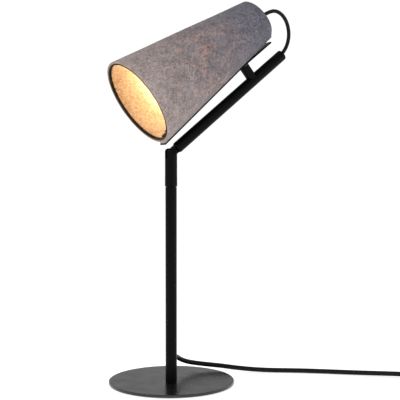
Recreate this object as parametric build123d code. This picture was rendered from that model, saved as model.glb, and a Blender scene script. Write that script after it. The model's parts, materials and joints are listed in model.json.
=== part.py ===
"""Desk lamp with a swivelling column, a tilting arm and a conical felt shade.

Millimetres, +Z up. The origin is on the desk, under the post, on the column's swivel axis.
At rest the arm lies in the XZ plane and rises towards +X.
"""
from build123d import *
import os
from math import atan2, cos, degrees, hypot, pi, radians, sin, tan

# ---------------------------------------------------------------- fits and gaps
FACE_GAP = 0.05          # between two flat faces that rest on each other
RUNNING = 0.05           # radial, pins and shafts that turn
THREAD = 0.05            # radial, screws in tapped holes
HOLE_EASE = 0.2          # radial, screws through plain holes

# ---------------------------------------------------------------- base and post
BASE_RADIUS = 80.0
BASE_THICKNESS = 3.55
BASE_OFFSET = 16.9       # from the post axis to the disc's centre
BASE_HEADING = 63.8      # degrees from +X, direction of that offset
BASE_EDGE = 0.4
PAD_INSET = 4.0
PAD_THICKNESS = 0.6
POST_RADIUS = 7.2
POST_WALL = 1.25
POST_TOP = 249.85
POST_PLUG_LENGTH = 20.0
POST_SCREW_RADIUS = 3.0
POST_SCREW_HEAD = 6.0
POST_SCREW_HEAD_DEPTH = 3.0
POST_SCREW_REACH = 18.0

# ---------------------------------------------------------------- column and its swivel
FLANGE_THICKNESS = 1.1
SPIGOT_DEPTH = 17.0
SHAFT_RADIUS = 4.9
SHAFT_THREAD_RADIUS = 4.0
SHAFT_BORE = 3.0
THRUST_WASHER = 0.5
WASHER_INSET = 0.9       # of the thrust washer's edge from the flange's
COLLAR_RADIUS = 7.8
COLLAR_HEIGHT = 12.1
COLLAR_CHAMFER = 0.6
COLLAR_INSERT = 6.3
STOP_HEIGHT = 5.5        # of the stop screw above the collar's lower face
STOP_SCREW_RADIUS = 1.5
STOP_TIP_RADIUS = 0.8
STOP_GROOVE_DEPTH = 0.9
STOP_LUG_WIDTH = 1.6
COLUMN_RADIUS = 7.7
COLUMN_WALL = 1.4
COLUMN_LENGTH = 22.25
SWIVEL_NUT_HEIGHT = 4.0
SPRING_WASHER = 1.0

# ---------------------------------------------------------------- knuckle
PIVOT_HEIGHT = 293.5
FORK_ABOVE_PIVOT = 6.2
FORK_BELOW_PIVOT = 7.45
FORK_STEM = 8.2
HEAD_FILLET = 4.3
SLOT_WIDTH = 6.5
SLOT_BELOW_PIVOT = 5.9
TONGUE_RADIUS = 5.2
TONGUE_PLATE = 1.6
WIRE_SLOT = 2.6
PIN_RADIUS = 1.75
PIN_HEAD_RADIUS = 3.1
PIN_HEAD_HEIGHT = 1.45
PIN_HEAD_SPAN = 13.0     # over both heads
PIN_NUT_FLATS = 5.5
KNUCKLE_FACE = 8.4       # along the arm, from the pivot to its domed head
KNUCKLE_LENGTH = 6.6
KNUCKLE_STEM = 13.0
WIRE_BORE = 4.7
KNUCKLE_CORES = 3.0      # how far its cores reach past its stem

# ---------------------------------------------------------------- arm
ARM_ANGLE = 39.28
ARM_RADIUS = 7.3
ARM_WALL = 1.2
ARM_REACH = 211.25       # from the pivot to the arm's far end
ARM_CAP = 0.95
BUSH_DEPTH = 8.0
STUB_STATION = 154.25    # of the shade's swivel axis, along the arm
STUB_RADIUS = 6.7
STUB_TOP = 23.15         # above the arm's axis
STUB_SPIGOT_RADIUS = 4.0
STUB_SPIGOT_BOTTOM = 4.0
SWIVEL_WASHER = 0.5
SWIVEL_SCREW_RADIUS = 2.5
SWIVEL_SCREW_HEAD_RADIUS = 4.7
SWIVEL_SCREW_HEAD_HEIGHT = 3.0
SWIVEL_SCREW_DEPTH = 11.0
SWIVEL_BUSH_RADIUS = 3.9

# ---------------------------------------------------------------- shade and its strip
STRIP_WIDTH = 16.0
STRIP_THICKNESS = 1.8
STRIP_START = -2.0       # stations along the arm
STRIP_END = 204.3
STRIP_BEND = 3.5         # degrees, lower length against the seat
SHADE_MOUTH_RADIUS = 58.0
SHADE_TOP_RADIUS = 28.0
SHADE_LENGTH = 205.0     # along its axis
END_SLANT = 3.0          # how much longer than that it is at the seam
FELT_THICKNESS = 3.0
LAP_THICKNESS = 1.95
LAP_FAR_EDGE = 4.6       # where the outer layer of felt ends, across the seam
LAP_NEAR_EDGE = -8.0     # where it leaves the strip
MOUTH_SETBACK = 0.8      # of the shade's mouth from the strip's lower end
MOUTH_RING_LENGTH = 3.5
MOUTH_RING_THICKNESS = 1.2
CLAMP_WIDTH = 12.0
CLAMP_THICKNESS = 1.5
CLAMP_START = 7.0
CLAMP_END = 195.0
CLAMP_SCREW_STATIONS = (14.0, 60.0, 106.0)
BRACKET_SCREW_STATIONS = (175.0, 186.0)
SMALL_SCREW_RADIUS = 1.5
SMALL_HEAD_RADIUS = 2.75
SMALL_HEAD_HEIGHT = 1.2
SMALL_NUT_FLATS = 5.5
SMALL_NUT_HEIGHT = 2.4
SCREW_TIP = 0.6          # of a small screw beyond its nut

# ---------------------------------------------------------------- lampholder and bulb
BRACKET_THICKNESS = 2.0
BRACKET_START = 168.0
BRACKET_FACE = 13.0      # of the bracket's upright, in from the shade's small end
BRACKET_HUB_RADIUS = 10.0
NIPPLE_RADIUS = 5.0
NIPPLE_BORE = 3.2
NIPPLE_END = 3.0         # in from the shade's small end
NIPPLE_INSERT = 6.0
NIPPLE_NUT_FLATS = 13.0
NIPPLE_NUT_HEIGHT = 3.0
HOLDER_RADIUS = 19.0
HOLDER_CAP_LENGTH = 22.0
HOLDER_CAP_FILLET = 9.0
HOLDER_SKIRT_LENGTH = 42.0
HOLDER_WALL = 2.0
SOCKET_RADIUS = 14.6
SOCKET_WALL = 1.0
SOCKET_FLOOR = 5.0
BULB_CAP_RADIUS = 13.3
BULB_CAP_LENGTH = 24.0
BULB_NECK_RADIUS = 13.2
BULB_SHOULDER = 20.0     # of the globe's centre, where the neck begins
BULB_RADIUS = 30.0
BULB_LENGTH = 107.0

# ---------------------------------------------------------------- cables
MAINS_DIAMETER = 6.2
LOOP_DIAMETER = 5.0
WIRE_RADIUS = 0.9
CORE_OFFSET = 1.2
CORE_JOIN = 0.4          # of the post's cores over the shaft, where the knuckle's begin
CORE_GAP = 0.2           # between the ends of two lengths of core
TIGHT_BEND = 2.0
EASY_BEND = 15.0
ARC_SHARE = 0.45         # of the shorter run, taken by each arc of a cord
GLAND_HEADING = 55.4
GLAND_DROP = 10.0
GLAND_AXIS_HEIGHT = 36.2
GLAND_REACH = 28.75
GLAND_ROOT_RADIUS = 4.75
GLAND_TIP_RADIUS = 3.7
GLAND_NECK_RADIUS = 3.9
GLAND_COLLAR_RADIUS = 4.4
GLAND_COLLAR_START = 0.4  # along the gland's axis, from the post's
GLAND_COLLAR_END = 3.0
GLAND_SHOULDER_START = 3.6
GLAND_TAPER_START = 9.0
GLAND_RINGS = (12.0, 15.6, 19.2, 22.8)
PLUG_RINGS = (3.0, 6.6, 10.2, 13.8)
RING_WIDTH = 1.4
RING_FLOOR = 0.35        # of a relief ring's floor, over the cord
CORD_ROUTE = (
    (16.1, 23.3, 31.2),
    (23.6, 34.2, 28.9),
    (31.9, 42.8, 23.4),
    (42.6, 48.3, 18.2),
    (54.5, 50.0, 14.6),
    (66.8, 47.6, 12.3),
    (78.3, 41.5, 11.0),
    (90.7, 33.1, 9.9),
    (106.1, 23.8, 7.7),
    (125.0, 14.6, 5.5),
    (146.9, 4.8, 3.9),
    (170.5, -6.2, 3.4),
    (188.6, -17.3, 3.4),
    (218.9, -39.4, 3.4),
    (248.5, -62.9, 3.6),
    (272.4, -85.7, 4.8),
    (286.5, -105.1, 6.5),
)
LOOP_ROUTE = (           # station along the arm, height over the arm's axis
    (196.0, 0.0),
    (216.5, 0.0),
    (236.0, 11.0),
    (245.8, 28.0),
    (245.8, 43.0),
    (238.6, 53.5),
    (221.5, 57.7),
)
SWITCH_HEADING = -53.93
SWITCH_LENGTH = 58.0
SWITCH_WIDTH = 22.0
SWITCH_BASE_HEIGHT = 7.5
SWITCH_COVER_HEIGHT = 8.5
SWITCH_WALL = 1.8
SWITCH_CORNER = 6.0
SWITCH_SCREW_PLACES = ((8.0, -5.0), (50.0, 5.0))
SWITCH_SCREW_RADIUS = 1.2
SWITCH_SCREW_HEAD = 2.3
SWITCH_BOSS_RADIUS = 3.0
SWITCH_HEAD_SEAT = 2.0   # how far up the screws' heads go
ROCKER_DROP = 2.6        # of its pin below the cover's top
ROCKER_SIDE_GAP = 0.4
CHEEK_THICKNESS = 1.8
CHEEK_HALF_LENGTH = 2.6
ROCKER_LENGTH = 19.0
ROCKER_WIDTH = 10.0
ROCKER_TILT = 8.0
ROCKER_PIN_RADIUS = 1.2
ROCKER_ABOVE_PIN = 1.9
ROCKER_BELOW_PIN = 2.2
COIL_CENTRE = (309.4, -203.5)
COIL_OUTER = 42.5
COIL_INNER = 23.7
COIL_BOTTOM = 0.8
COIL_TURN_GAP = 0.1
COIL_ENTRY = (341.3, -180.3, 3.9)
TAIL_START = (291.6, -238.6, 10.2)
TAIL_END = (270.9, -228.5, 6.9)
TIE_WIDTH = 6.0
TIE_THICKNESS = 0.6
TIE_HEADING = 150.0
PLUG_SLEEVE = 20.0
PLUG_BODY_LENGTH = 24.0
PLUG_WIDTH = 26.0
PLUG_THICKNESS = 13.7
PLUG_NOSE_WIDTH = 30.0
PIN_LENGTH = 19.0
PIN_ROOT = 7.9           # how far the pins go into the body
PIN_SPACING = 18.6
PLUG_PIN_RADIUS = 2.0

FROM_BASE = (Align.CENTER, Align.CENTER, Align.MIN)
OVERSHOOT = 1.0          # how far a cutting tool reaches past what it cuts

# ---------------------------------------------------------------- places that follow from the sizes
PAD_TOP = PAD_THICKNESS + FACE_GAP
BASE_TOP = PAD_TOP + BASE_THICKNESS
POST_FOOT = BASE_TOP + FACE_GAP
POST_BORE = POST_RADIUS - POST_WALL
FLANGE_TOP = POST_TOP + FACE_GAP + FLANGE_THICKNESS
COLLAR_FOOT = FLANGE_TOP + THRUST_WASHER + 2 * FACE_GAP
COLLAR_TOP = COLLAR_FOOT + COLLAR_HEIGHT
COLLAR_INSERT_TOP = COLLAR_TOP + COLLAR_INSERT
COLUMN_BORE = COLUMN_RADIUS - COLUMN_WALL
COLUMN_FOOT = COLLAR_TOP + FACE_GAP
COLUMN_TOP = COLUMN_FOOT + COLUMN_LENGTH
SPRING_WASHER_TOP = COLLAR_INSERT_TOP + FACE_GAP + SPRING_WASHER
SWIVEL_NUT_TOP = SPRING_WASHER_TOP + FACE_GAP + SWIVEL_NUT_HEIGHT
SHAFT_TOP = SWIVEL_NUT_TOP + 1.5
FORK_FOOT = max(COLUMN_TOP + FACE_GAP, PIVOT_HEIGHT - FORK_BELOW_PIVOT)
FORK_TOP = PIVOT_HEIGHT + FORK_ABOVE_PIVOT
ARM_BORE = ARM_RADIUS - ARM_WALL
ARM_START = KNUCKLE_FACE + KNUCKLE_LENGTH + FACE_GAP
KNUCKLE_END = KNUCKLE_FACE + KNUCKLE_LENGTH + KNUCKLE_STEM
CAP_START = ARM_REACH - ARM_CAP
ARM_TUBE_END = CAP_START - FACE_GAP
STRIP_SEAT = STUB_TOP + SWIVEL_WASHER + 2 * FACE_GAP
STRIP_BEND_STATION = STUB_STATION - STRIP_WIDTH / 2
STRIP_FOOT = STRIP_SEAT - (STRIP_BEND_STATION - STRIP_START) * tan(radians(STRIP_BEND))
SEAM_HEIGHT = STRIP_THICKNESS + FACE_GAP + LAP_THICKNESS
HALF_ANGLE = degrees(atan2(SHADE_MOUTH_RADIUS - SHADE_TOP_RADIUS, SHADE_LENGTH))
FELT_RADIAL = FELT_THICKNESS / cos(radians(HALF_ANGLE))
LAP_RADIAL = LAP_THICKNESS / cos(radians(HALF_ANGLE))
CLAMP_SEAT = FELT_THICKNESS
CLAMP_TOP = CLAMP_SEAT + CLAMP_THICKNESS
FOOT_SEAT = CLAMP_TOP + FACE_GAP
FOOT_TOP = FOOT_SEAT + BRACKET_THICKNESS
BRACKET_STATION = SHADE_LENGTH - BRACKET_FACE

ARM = Location(Plane(
    origin=(0, 0, PIVOT_HEIGHT),
    x_dir=(cos(radians(ARM_ANGLE)), 0, sin(radians(ARM_ANGLE))),
    z_dir=(-sin(radians(ARM_ANGLE)), 0, cos(radians(ARM_ANGLE))),
))
# Along the felt's seam, from the shade's mouth, with z towards the shade's axis. In the arm's frame.
SEAM = (
    Pos(STRIP_START, 0, STRIP_FOOT) * Rot(0, -STRIP_BEND, 0) * Pos(MOUTH_SETBACK, 0, SEAM_HEIGHT)
)
# Along the shade's axis from the centre of its mouth. In the arm's frame.
SHADE = SEAM * Rot(0, HALF_ANGLE, 0) * Pos(0, 0, SHADE_MOUTH_RADIUS)
GLAND = Location(Plane(
    origin=(0, 0, GLAND_AXIS_HEIGHT),
    x_dir=(-sin(radians(GLAND_HEADING)), cos(radians(GLAND_HEADING)), 0),
    z_dir=(
        cos(radians(GLAND_DROP)) * cos(radians(GLAND_HEADING)),
        cos(radians(GLAND_DROP)) * sin(radians(GLAND_HEADING)),
        -sin(radians(GLAND_DROP)),
    ),
))
SWITCH = Pos(CORD_ROUTE[-1][0], CORD_ROUTE[-1][1], 0) * Rot(0, 0, SWITCH_HEADING)


# ---------------------------------------------------------------- helpers
def upright(radius, low, high, x=0, y=0):
    """Round bar along Z."""
    return Pos(x, y, low) * Cylinder(radius, high - low, align=FROM_BASE)


def sleeve(outer, inner, low, high, x=0, y=0):
    """Round tube along Z."""
    return upright(outer, low, high, x, y) - upright(inner, low - OVERSHOOT, high + OVERSHOOT, x, y)


def rod(radius, start, end, across=0, height=0):
    """Round bar along X."""
    return Pos(start, across, height) * Rot(0, 90, 0) * Cylinder(radius, end - start, align=FROM_BASE)


def cross_pin(radius, start, end):
    """Round bar along Y."""
    return Pos(0, start, 0) * Rot(-90, 0, 0) * Cylinder(radius, end - start, align=FROM_BASE)


def slab(x_low, x_high, width, z_low, z_high):
    """Box about the XZ plane."""
    return Pos(x_low, 0, z_low) * Box(
        x_high - x_low, width, z_high - z_low, align=(Align.MIN, Align.CENTER, Align.MIN)
    )


def hexagon(flats, low, high):
    """Hexagonal bar along Z, by its width across flats."""
    return Pos(0, 0, low) * extrude(RegularPolygon(flats / 2, 6, major_radius=False), high - low)


def hex_nut(flats, bore, low, high):
    return hexagon(flats, low, high) - upright(bore, low - OVERSHOOT, high + OVERSHOOT)


def corner_radii(points):
    """The largest arc that the two runs at each corner of a route allow."""
    radii = []
    for before, corner, after in zip(points, points[1:], points[2:]):
        run_in = corner - before
        run_out = after - corner
        half_turn = radians(run_in.get_angle(run_out) / 2)
        radii.append(ARC_SHARE * min(run_in.length, run_out.length) / tan(half_turn))
    return radii


def cable(name, route, diameter):
    """Round cable along straight runs joined by tangent arcs."""
    points = [Vector(*place) for place in route]
    radii = corner_radii(points)
    path = FilletPolyline(*points, radius=radii) if radii else Line(*points)
    section = Plane(origin=points[0], z_dir=points[1] - points[0]) * Circle(diameter / 2)
    solid = sweep(section, path=path)
    share = solid.volume / (pi * (diameter / 2) ** 2 * path.length)
    print(name, "length", round(path.length, 1), "volume share", round(share, 4),
          "radii", [round(radius, 1) for radius in radii])
    return solid


def write(name, *solids):
    shape = solids[0] if len(solids) == 1 else Compound(children=list(solids))
    export_step(shape, f"parts/{name}.step")


# ---------------------------------------------------------------- base and post
def make_base():
    centre_x = BASE_OFFSET * cos(radians(BASE_HEADING))
    centre_y = BASE_OFFSET * sin(radians(BASE_HEADING))
    write("base_pad", upright(BASE_RADIUS - PAD_INSET, 0, PAD_THICKNESS, centre_x, centre_y))

    plate = upright(BASE_RADIUS, PAD_TOP, BASE_TOP, centre_x, centre_y)
    plate = chamfer(plate.edges().filter_by(GeomType.CIRCLE), BASE_EDGE)
    head_low = PAD_TOP + FACE_GAP
    head_high = head_low + POST_SCREW_HEAD_DEPTH
    sink = Pos(0, 0, PAD_TOP) * Cone(
        POST_SCREW_HEAD + HOLE_EASE, POST_SCREW_RADIUS + HOLE_EASE,
        POST_SCREW_HEAD_DEPTH + FACE_GAP, align=FROM_BASE,
    )
    plate -= sink
    plate -= upright(POST_SCREW_RADIUS + HOLE_EASE, PAD_TOP, BASE_TOP + OVERSHOOT)
    write("base_plate", plate)

    screw = Pos(0, 0, head_low) * Cone(
        POST_SCREW_HEAD, POST_SCREW_RADIUS, POST_SCREW_HEAD_DEPTH, align=FROM_BASE
    )
    screw += upright(POST_SCREW_RADIUS, head_high, POST_FOOT + POST_SCREW_REACH)
    screw -= hexagon(4.0, head_low - OVERSHOOT, head_low + 2.0)
    write("post_screw", screw)


def along(radius, start, end):
    """Round bar between two stations of a cord gland's axis."""
    return Pos(0, 0, start) * Cylinder(radius, end - start, align=FROM_BASE)


def gland_solid():
    collar = along(GLAND_COLLAR_RADIUS, GLAND_COLLAR_START, GLAND_COLLAR_END)
    neck = along(GLAND_NECK_RADIUS, GLAND_COLLAR_END - 0.1, GLAND_COLLAR_END + POST_RADIUS)
    shoulder = along(GLAND_ROOT_RADIUS, GLAND_SHOULDER_START, GLAND_TAPER_START)
    taper = Pos(0, 0, GLAND_TAPER_START) * Cone(
        GLAND_ROOT_RADIUS, GLAND_TIP_RADIUS, GLAND_REACH - GLAND_TAPER_START, align=FROM_BASE
    )
    for start in GLAND_RINGS:
        end = start + RING_WIDTH
        taper -= along(GLAND_ROOT_RADIUS + OVERSHOOT, start, end) - along(
            MAINS_DIAMETER / 2 + RING_FLOOR, start, end
        )
    outside = GLAND * (shoulder + taper) - upright(POST_RADIUS + FACE_GAP, 0, POST_TOP)
    inside = (GLAND * collar) & upright(POST_BORE - FACE_GAP, 0, POST_TOP)
    return outside + GLAND * neck + inside


def make_post():
    plug_top = POST_FOOT + POST_PLUG_LENGTH
    plug = sleeve(POST_BORE - FACE_GAP, POST_SCREW_RADIUS + THREAD, POST_FOOT, plug_top)
    write("post_plug", plug)

    tube = sleeve(POST_RADIUS, POST_BORE, POST_FOOT, POST_TOP)
    tube -= GLAND * Cylinder(GLAND_NECK_RADIUS + FACE_GAP, 2 * POST_RADIUS, align=FROM_BASE)
    write("post_tube", tube)
    write("cord_gland", gland_solid())

    # Two cores from the gland, up the post and through the swivel.
    start = (GLAND * Pos(0, 0, -0.1)).position
    back = Vector(-cos(radians(GLAND_HEADING)), -sin(radians(GLAND_HEADING)), 0)
    side = Vector(-back.Y, back.X, 0)
    bend_reach = 2.2
    first_rise = 20
    centred_rise = 45
    cores = []
    for hand in (-1, 1):
        shift = side * (hand * CORE_OFFSET)
        route = (
            start + shift,
            start + back * bend_reach + shift,
            start + back * bend_reach + shift + Vector(0, 0, first_rise),
            Vector(hand * CORE_OFFSET, 0, start.Z + centred_rise),
            Vector(hand * CORE_OFFSET, 0, SHAFT_TOP + CORE_JOIN),
        )
        path = FilletPolyline(*route, radius=[TIGHT_BEND, EASY_BEND, EASY_BEND])
        section = Plane(origin=route[0], z_dir=route[1] - route[0]) * Circle(WIRE_RADIUS)
        cores.append(sweep(section, path=path))
    write("post_wires", *cores)


# ---------------------------------------------------------------- column and its swivel
def make_swivel():
    spigot = upright(POST_BORE - FACE_GAP, POST_TOP - SPIGOT_DEPTH, POST_TOP + FACE_GAP)
    spigot += upright(POST_RADIUS, POST_TOP + FACE_GAP, FLANGE_TOP)
    shaft_shoulder = COLLAR_INSERT_TOP - FACE_GAP
    spigot += upright(SHAFT_RADIUS, FLANGE_TOP, shaft_shoulder)
    spigot += upright(SHAFT_THREAD_RADIUS, shaft_shoulder, SHAFT_TOP)
    spigot -= upright(SHAFT_BORE, POST_TOP - SPIGOT_DEPTH - OVERSHOOT, SHAFT_TOP + OVERSHOOT)
    stop_z = COLLAR_FOOT + STOP_HEIGHT
    groove_half = STOP_TIP_RADIUS + 0.2
    groove = sleeve(
        SHAFT_RADIUS + OVERSHOOT, SHAFT_RADIUS - STOP_GROOVE_DEPTH, stop_z - groove_half, stop_z + groove_half
    )
    # The lug that the stop screw meets at each end of the swivel's travel.
    lug = Pos(0, 0, stop_z - groove_half) * Box(
        STOP_LUG_WIDTH, 2 * SHAFT_RADIUS, 2 * groove_half, align=(Align.CENTER, Align.MAX, Align.MIN)
    )
    write("swivel_spigot", spigot - (groove - lug))

    washer_low = FLANGE_TOP + FACE_GAP
    edge = POST_RADIUS - WASHER_INSET
    washer = sleeve(edge, SHAFT_RADIUS + RUNNING, washer_low, washer_low + THRUST_WASHER)
    write("thrust_washer", washer)

    collar = upright(COLLAR_RADIUS, COLLAR_FOOT, COLLAR_TOP)
    collar = chamfer(collar.edges().group_by(Axis.Z)[0], COLLAR_CHAMFER)
    collar += upright(COLUMN_BORE - FACE_GAP, COLLAR_TOP, COLLAR_INSERT_TOP)
    collar -= upright(SHAFT_RADIUS + RUNNING, COLLAR_FOOT - OVERSHOOT, COLLAR_INSERT_TOP + OVERSHOOT)
    collar -= Pos(0, 0, stop_z) * cross_pin(STOP_SCREW_RADIUS + THREAD, 0, COLLAR_RADIUS + OVERSHOOT)
    write("swivel_collar", collar)

    tip_end = SHAFT_RADIUS - STOP_GROOVE_DEPTH + 0.15
    body_start = SHAFT_RADIUS + 0.25
    screw = cross_pin(STOP_TIP_RADIUS, tip_end, body_start + 0.1)
    screw += cross_pin(STOP_SCREW_RADIUS, body_start, COLLAR_RADIUS - 0.3)
    screw -= Pos(0, COLLAR_RADIUS - 1.3, 0) * Rot(-90, 0, 0) * hexagon(1.5, 0, 2)
    write("stop_screw", Pos(0, 0, stop_z) * screw)

    write("column_tube", sleeve(COLUMN_RADIUS, COLUMN_BORE, COLUMN_FOOT, COLUMN_TOP))

    spring_low = COLLAR_INSERT_TOP + FACE_GAP
    write("swivel_spring_washer",
          sleeve(COLUMN_BORE - 0.3, SHAFT_THREAD_RADIUS + HOLE_EASE, spring_low, SPRING_WASHER_TOP))
    nut_low = SPRING_WASHER_TOP + FACE_GAP
    nut = sleeve(COLUMN_BORE - 0.3, SHAFT_THREAD_RADIUS + THREAD, nut_low, SWIVEL_NUT_TOP)
    nut -= Pos(0, 0, SWIVEL_NUT_TOP - 1.5) * Box(2 * COLUMN_BORE, 1.5, 2, align=FROM_BASE)
    write("swivel_nut", nut)


# ---------------------------------------------------------------- knuckle
def make_fork():
    head = upright(COLUMN_RADIUS, FORK_FOOT, FORK_TOP)
    head = fillet(head.edges().group_by(Axis.Z)[-1], HEAD_FILLET)
    head += upright(COLUMN_BORE - FACE_GAP, FORK_FOOT - FORK_STEM, FORK_FOOT)
    slot_floor = PIVOT_HEIGHT - SLOT_BELOW_PIVOT
    head -= slab(-2 * COLUMN_RADIUS, 2 * COLUMN_RADIUS, SLOT_WIDTH, slot_floor, FORK_TOP + OVERSHOOT)
    head -= upright(WIRE_BORE, FORK_FOOT - FORK_STEM - OVERSHOOT, slot_floor + OVERSHOOT)
    pin_hole = cross_pin(PIN_RADIUS + RUNNING, -COLUMN_RADIUS, COLUMN_RADIUS)
    seat = PIN_HEAD_SPAN / 2 - PIN_HEAD_HEIGHT - FACE_GAP
    for hand in (-1, 1):
        recess = cross_pin(PIN_HEAD_RADIUS + HOLE_EASE, seat, COLUMN_RADIUS + OVERSHOOT)
        pin_hole += recess if hand > 0 else mirror(recess, Plane.XZ)
    write("fork_head", head - Pos(0, 0, PIVOT_HEIGHT) * pin_hole)


def make_pivot():
    outer = PIN_HEAD_SPAN / 2
    head_foot = outer - PIN_HEAD_HEIGHT
    screw = cross_pin(PIN_HEAD_RADIUS, -outer, -head_foot)
    screw += cross_pin(PIN_RADIUS, -head_foot, outer - 0.2)
    screw -= Pos(0, -outer, 0) * Rot(-90, 0, 0) * hexagon(2.0, -OVERSHOOT, 1.0)
    write("pivot_screw", Pos(0, 0, PIVOT_HEIGHT) * screw)

    nut = Rot(-90, 0, 0) * hex_nut(PIN_NUT_FLATS, PIN_RADIUS + THREAD, head_foot, outer)
    write("pivot_nut", Pos(0, 0, PIVOT_HEIGHT) * nut)

    tongue_side = WIRE_SLOT / 2 + TONGUE_PLATE
    thickness = SLOT_WIDTH / 2 - tongue_side - 2 * FACE_GAP
    washer = cross_pin(TONGUE_RADIUS - 0.4, tongue_side + FACE_GAP, tongue_side + FACE_GAP + thickness)
    washer -= cross_pin(PIN_RADIUS + HOLE_EASE, 0, SLOT_WIDTH)
    far = Pos(0, 0, PIVOT_HEIGHT) * washer
    write("friction_washers", far, mirror(far, Plane.XZ))


def make_knuckle():
    head = Cylinder(ARM_RADIUS, KNUCKLE_LENGTH, align=FROM_BASE)
    head = fillet(head.edges().group_by(Axis.Z)[0], HEAD_FILLET - 0.1)
    knuckle = Pos(KNUCKLE_FACE, 0, 0) * Rot(0, 90, 0) * head
    stem_start = KNUCKLE_FACE + KNUCKLE_LENGTH
    knuckle += rod(ARM_BORE - FACE_GAP, stem_start - 0.1, stem_start + KNUCKLE_STEM)
    tongue_width = WIRE_SLOT + 2 * TONGUE_PLATE
    knuckle += cross_pin(TONGUE_RADIUS, -tongue_width / 2, tongue_width / 2)
    knuckle += slab(0, KNUCKLE_FACE + HEAD_FILLET, tongue_width, -TONGUE_RADIUS, TONGUE_RADIUS)
    # Between the two tongues, then on through the head to the tube.
    knuckle -= slab(-2 * TONGUE_RADIUS, KNUCKLE_FACE, WIRE_SLOT, -2 * TONGUE_RADIUS, 2 * TONGUE_RADIUS)
    knuckle -= slab(0, stem_start + OVERSHOOT, WIRE_SLOT, -WIRE_BORE, WIRE_BORE)
    knuckle -= rod(WIRE_BORE, stem_start, stem_start + KNUCKLE_STEM + OVERSHOOT)
    knuckle -= cross_pin(PIN_RADIUS + RUNNING, -tongue_width, tongue_width)
    write("arm_knuckle", ARM * knuckle)


def make_knuckle_wires():
    """Two cores that pass the pivot pin, one on each side, and bend as the arm tilts."""
    forward = Vector(cos(radians(ARM_ANGLE)), 0, sin(radians(ARM_ANGLE)))
    over = Vector(-forward.Z, 0, forward.X)
    pivot = Vector(0, 0, PIVOT_HEIGHT)
    start_z = SHAFT_TOP + CORE_JOIN + CORE_GAP
    half_turn = radians((90 - ARM_ANGLE) / 2)
    first_run = 1.5
    past_pivot = 17.0
    small_bend = 3.0
    # Which side of the pin each passes, how far from it, and how it turns there.
    ways = ((-1, 3.6, 8.0), (1, 2.95, 4.0))
    wires = []
    for hand, offset, bend in ways:
        height = -hand * offset
        corner = pivot + Vector(-height, 0, height * tan(half_turn))
        route = (
            Vector(hand * CORE_OFFSET, 0, start_z),
            Vector(hand * CORE_OFFSET, 0, start_z + first_run),
            Vector(-height, 0, FORK_FOOT - 0.5),
            corner,
            pivot + forward * past_pivot + over * height,
            pivot + forward * (KNUCKLE_END - 2) - over * (hand * CORE_OFFSET),
            pivot + forward * (KNUCKLE_END + KNUCKLE_CORES) - over * (hand * CORE_OFFSET),
        )
        path = FilletPolyline(*route, radius=[small_bend, small_bend, bend, small_bend, small_bend])
        section = Plane(origin=route[0], z_dir=route[1] - route[0]) * Circle(WIRE_RADIUS)
        wires.append(sweep(section, path=path))
    write("knuckle_wires", *wires)


# ---------------------------------------------------------------- arm
def make_arm():
    tube = rod(ARM_RADIUS, ARM_START, ARM_TUBE_END) - rod(ARM_BORE, 0, ARM_REACH + OVERSHOOT)
    tube -= upright(STUB_SPIGOT_RADIUS + FACE_GAP, 0, 2 * ARM_RADIUS, STUB_STATION)
    write("arm_tube", ARM * tube)

    bush = rod(ARM_RADIUS - 0.2, CAP_START, ARM_REACH)
    bush = chamfer(bush.edges().filter_by(GeomType.CIRCLE), 0.3)
    bush += rod(ARM_BORE - FACE_GAP, CAP_START - BUSH_DEPTH, CAP_START + 0.2)
    bush -= rod(LOOP_DIAMETER / 2 + HOLE_EASE + 0.15, 0, ARM_REACH + OVERSHOOT)
    write("arm_end_bush", ARM * bush)

    cores_start = KNUCKLE_END + KNUCKLE_CORES + CORE_GAP
    cores_end = LOOP_ROUTE[0][0] - CORE_GAP
    cores = [ARM * rod(WIRE_RADIUS, cores_start, cores_end, height=hand * CORE_OFFSET) for hand in (-1, 1)]
    write("arm_wires", *cores)

    stub = upright(STUB_RADIUS, 0, STUB_TOP, STUB_STATION)
    stub = chamfer(stub.edges().group_by(Axis.Z)[-1], 0.4)
    stub -= rod(ARM_RADIUS + FACE_GAP, 0, ARM_REACH)
    stub += upright(STUB_SPIGOT_RADIUS, STUB_SPIGOT_BOTTOM, ARM_RADIUS + 1, STUB_STATION)
    hole_floor = STUB_TOP - SWIVEL_SCREW_DEPTH - 1.5
    stub -= upright(SWIVEL_SCREW_RADIUS + THREAD, hole_floor, STUB_TOP + OVERSHOOT, STUB_STATION)
    write("stub_boss", ARM * stub)


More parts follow.
